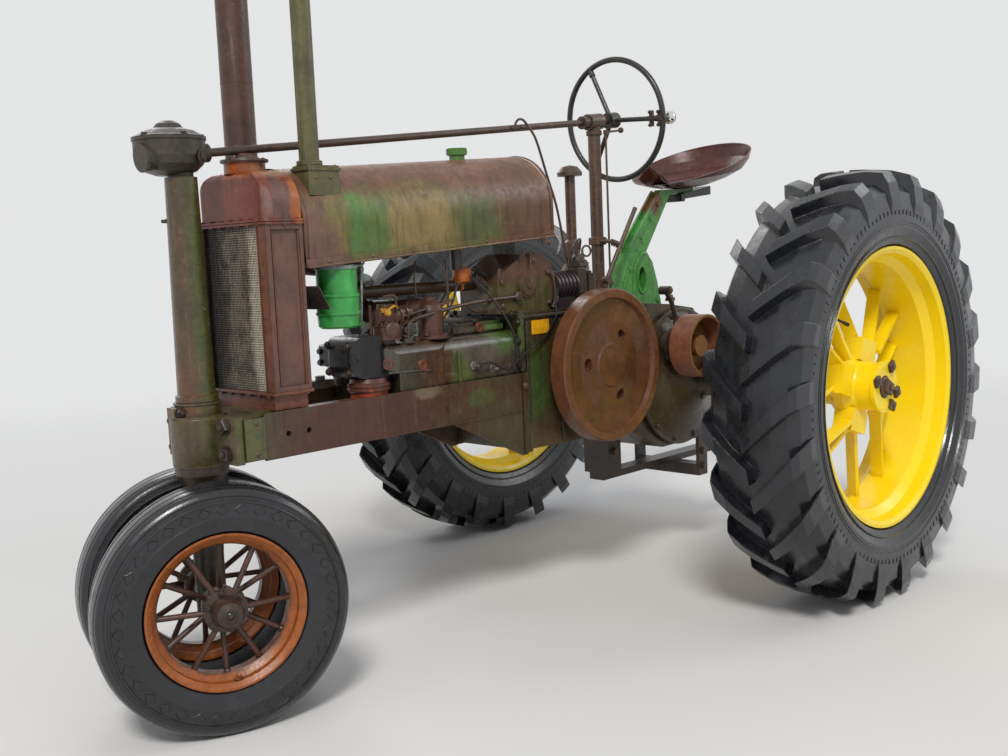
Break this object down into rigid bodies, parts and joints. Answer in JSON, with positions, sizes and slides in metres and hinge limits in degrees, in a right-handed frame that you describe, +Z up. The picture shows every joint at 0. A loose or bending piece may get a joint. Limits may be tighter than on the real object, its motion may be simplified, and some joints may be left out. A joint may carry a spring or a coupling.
{
  "type": "row-crop tractor",
  "caption": "Vintage narrow-front row-crop farm tractor with an open level engine, tall lugged rear tyres and a pan seat.",
  "frame": {"origin": "on the ground under the middle of the whole machine's length and width", "axes": "+X forward, +Y to the driver's left, +Z up"},
  "size_m": [3.1797, 2.17, 2.24],
  "materials": {
    "olive_paint": "old olive green paint worn to rust",
    "green_paint": "newer green paint, chipped",
    "brown_rust": "dark brown rust, smooth",
    "orange_rust": "bright orange rust",
    "dark_iron": "oily dark iron",
    "black_enamel": "fresh black enamel",
    "black_rim": "worn hard rubber rim",
    "core_fins": "dull finned core",
    "yellow_paint": "fresh glossy yellow paint",
    "tyre": "wet weathered tread"
  },
  "bodies": {
    "chassis": {"bolster": "olive_paint", "steering_column": "olive_paint", "gear_case": "dark_iron", "frame_rails": "brown_rust", "radiator_bottom_tank": "orange_rust", "radiator_core": "core_fins", "radiator_sides": "brown_rust", "radiator_top_tank": "orange_rust", "radiator_cap": "brown_rust", "hood": "olive_paint", "fuel_tank": "brown_rust", "fuel_cap": "green_paint", "exhaust_stack": "brown_rust", "intake_stack": "olive_paint", "air_cleaner": "green_paint", "cylinder_block": "brown_rust", "valve_cover": "black_enamel", "manifold": "orange_rust", "carburettor": "orange_rust", "filter_can": "orange_rust", "governor_case": "brown_rust", "magneto": "dark_iron", "breather": "brown_rust", "crankcase": "olive_paint", "axle_housings": "olive_paint", "brake_drums": "brown_rust", "steering_post": "brown_rust", "hand_levers": "brown_rust", "brake_pedals": "dark_iron", "seat_support": "green_paint", "seat_pan": "brown_rust", "drawbar": "dark_iron", "drawbar_frame": "dark_iron"},
    "front_steer": {"spindle": "dark_iron"},
    "front_left": {"front_wheel_left": "orange_rust", "front_tyre_left": "tyre"},
    "front_right": {"front_wheel_right": "orange_rust", "front_tyre_right": "tyre"},
    "rear_left": {"rear_wheel_left": "yellow_paint", "rear_tyre_left": "tyre"},
    "rear_right": {"rear_wheel_right": "yellow_paint", "rear_tyre_right": "tyre"},
    "crankshaft": {"flywheel": "brown_rust", "belt_pulley": "brown_rust"},
    "fan": {"fan": "dark_iron"},
    "steering": {"steering_shaft": "brown_rust", "steering_wheel": "black_rim"}
  },
  "joints": [
    {"name": "front_steer", "type": "hinge", "parent": "chassis", "child": "front_steer", "pos_m": [1.2068, 0, 0.7], "axis": [0, 0, 1], "range_deg": [-50.8, 89.2]},
    {"name": "front_left_roll", "type": "hinge", "parent": "front_steer", "child": "front_left", "pos_m": [1.25334, 0.13363, 0.34462], "axis": [0.3288, 0.9441, -0.0262], "continuous": true},
    {"name": "front_right_roll", "type": "hinge", "parent": "front_steer", "child": "front_right", "pos_m": [1.16027, -0.13363, 0.34462], "axis": [-0.3288, -0.9441, -0.0262], "continuous": true},
    {"name": "rear_left_roll", "type": "hinge", "parent": "chassis", "child": "rear_left", "pos_m": [-0.8432, 0.915, 0.747], "axis": [0, 1, 0], "continuous": true},
    {"name": "rear_right_roll", "type": "hinge", "parent": "chassis", "child": "rear_right", "pos_m": [-0.8432, -0.915, 0.747], "axis": [0, 1, 0], "continuous": true},
    {"name": "crank_spin", "type": "hinge", "parent": "chassis", "child": "crankshaft", "pos_m": [-0.2722, 0, 0.8535], "axis": [0, 1, 0], "continuous": true},
    {"name": "fan_spin", "type": "hinge", "parent": "chassis", "child": "fan", "pos_m": [0.8918, 0, 1.16], "axis": [1, 0, 0], "continuous": true},
    {"name": "hand_wheel", "type": "hinge", "parent": "chassis", "child": "steering", "pos_m": [-0.5662, 0, 1.74103], "axis": [0.9951, 0, -0.0988], "range_deg": [-803.8, 458.2]}
  ],
  "couplings": [
    {"joint": "hand_wheel", "follows": "front_steer", "ratio": -9}
  ]
}
